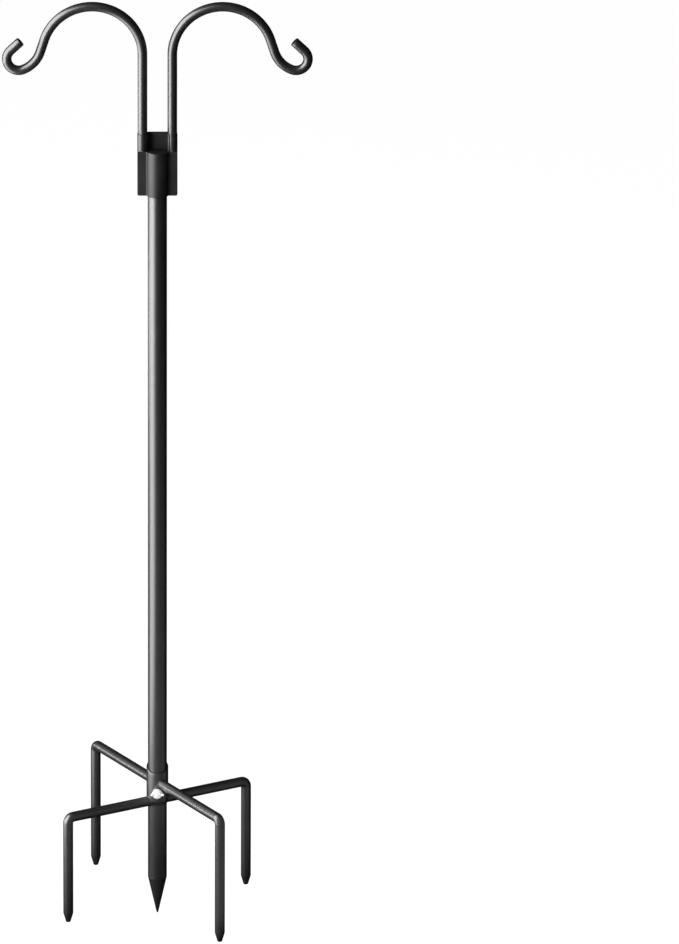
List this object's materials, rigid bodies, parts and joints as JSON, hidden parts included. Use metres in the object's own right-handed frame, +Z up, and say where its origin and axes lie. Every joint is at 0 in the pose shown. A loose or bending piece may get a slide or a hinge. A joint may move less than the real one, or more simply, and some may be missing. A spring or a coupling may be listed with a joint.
{
  "type": "double shepherd hook plant stand",
  "caption": "Garden pole with a clamped bracket that carries two swan-neck hooks and a socketed ground spike with side prongs, for hanging pots or lanterns.",
  "frame": {"origin": "on the pole's axis at the soil line, 120 mm above the ground spike's point", "axes": "+Z up along the pole, +X along the two hooks, -Y to the front, where the socket's wing screw is"},
  "size_m": [0.3214, 0.2346, 1.0063],
  "materials": {
    "powder_coat": "satin black powder coat",
    "zinc_plate": "bright zinc plate",
    "black_plastic": "fine-grained moulding"
  },
  "bodies": {
    "base": {"spike_tube": "powder_coat", "spike_point": "powder_coat", "prong_front_left": "powder_coat", "prong_front_right": "powder_coat", "prong_back_left": "powder_coat", "prong_back_right": "powder_coat", "socket_boss": "powder_coat"},
    "socket_screw": {"socket_wing_screw": "zinc_plate"},
    "pole": {"pole_tube": "powder_coat", "pole_top_plug": "black_plastic"},
    "bracket": {"bracket_back_plate": "powder_coat", "bracket_front_plate": "powder_coat", "hook_socket_left": "powder_coat", "hook_socket_right": "powder_coat", "clamp_nut": "powder_coat"},
    "clamp_screw": {"clamp_wing_screw": "zinc_plate"},
    "left_hook": {"hook_left": "powder_coat"},
    "right_hook": {"hook_right": "powder_coat"}
  },
  "joints": [
    {"name": "socket_screw_turn", "type": "hinge", "parent": "base", "child": "socket_screw", "pos_m": [0, -0.014, 0.02], "axis": [0, 1, 0], "continuous": true},
    {"name": "pole_turn", "type": "hinge", "parent": "base", "child": "pole", "pos_m": [0, 0, 0], "axis": [0, 0, 1], "continuous": true},
    {"name": "bracket_height", "type": "slide", "parent": "pole", "child": "bracket", "axis": [0, 0, 1], "range_m": [-0.627, 0]},
    {"name": "clamp_screw_turn", "type": "hinge", "parent": "bracket", "child": "clamp_screw", "pos_m": [0, 0.018, 0.695], "axis": [0, 1, 0], "continuous": true},
    {"name": "left_hook_swivel", "type": "hinge", "parent": "bracket", "child": "left_hook", "pos_m": [-0.01545, 0.0046, 0.7438], "axis": [0, 0, 1], "range_deg": [-90, 90]},
    {"name": "right_hook_swivel", "type": "hinge", "parent": "bracket", "child": "right_hook", "pos_m": [0.01545, 0.0046, 0.7438], "axis": [0, 0, 1], "range_deg": [-90, 90]}
  ]
}
